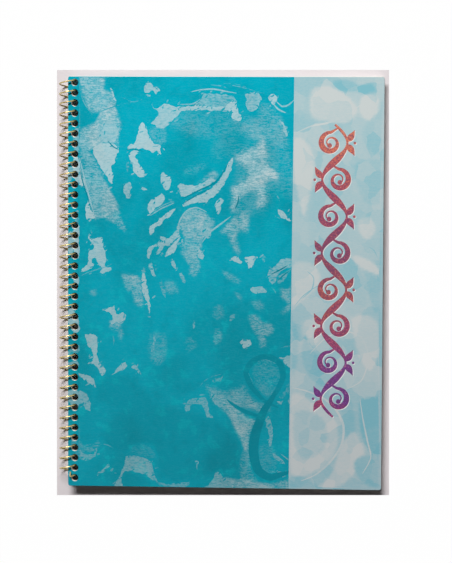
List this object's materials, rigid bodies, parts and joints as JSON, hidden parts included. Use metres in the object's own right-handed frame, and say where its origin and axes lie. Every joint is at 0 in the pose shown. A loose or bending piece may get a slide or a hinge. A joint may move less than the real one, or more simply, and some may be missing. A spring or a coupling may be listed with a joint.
{
  "type": "spiral notebook",
  "caption": "Notebook of punched sheets between stiff printed card covers, bound down the left side by a helical wire that the covers turn on.",
  "frame": {"origin": "under the middle of the closed notebook, at the lowest point of the wire, on the plane that it lies on", "axes": "+X from the spine to the fore-edge, +Y from the foot to the head, +Z from the back cover to the front cover"},
  "size_m": [0.2006, 0.2546, 0.0115],
  "materials": {
    "front_card": "stiff card, printed with a teal marbled pattern, satin",
    "back_card": "stiff card, printed with a teal marbled pattern, satin",
    "sheets": "uncoated white paper",
    "gold_wire": "bright gold-coloured wire"
  },
  "bodies": {
    "pages": {"page_block": "sheets"},
    "wire": {"spiral_wire": "gold_wire"},
    "front_cover": {"front_cover": "front_card"},
    "back_cover": {"back_cover": "back_card"}
  },
  "joints": [
    {"name": "wire_float", "type": "slide", "parent": "pages", "child": "wire", "axis": [0, 1, 0], "range_m": [-0.00315, 0]},
    {"name": "front_cover_turn", "type": "hinge", "parent": "wire", "child": "front_cover", "pos_m": [-0.09453, 0, 0.00575], "axis": [0, -1, 0], "range_deg": [0, 180]},
    {"name": "back_cover_turn", "type": "hinge", "parent": "pages", "child": "back_cover", "pos_m": [-0.09453, 0, 0.00575], "axis": [0, 1, 0], "range_deg": [0, 180]}
  ],
  "couplings": [
    {"joint": "wire_float", "follows": "back_cover_turn", "m_per_rad": -0.0010011}
  ]
}
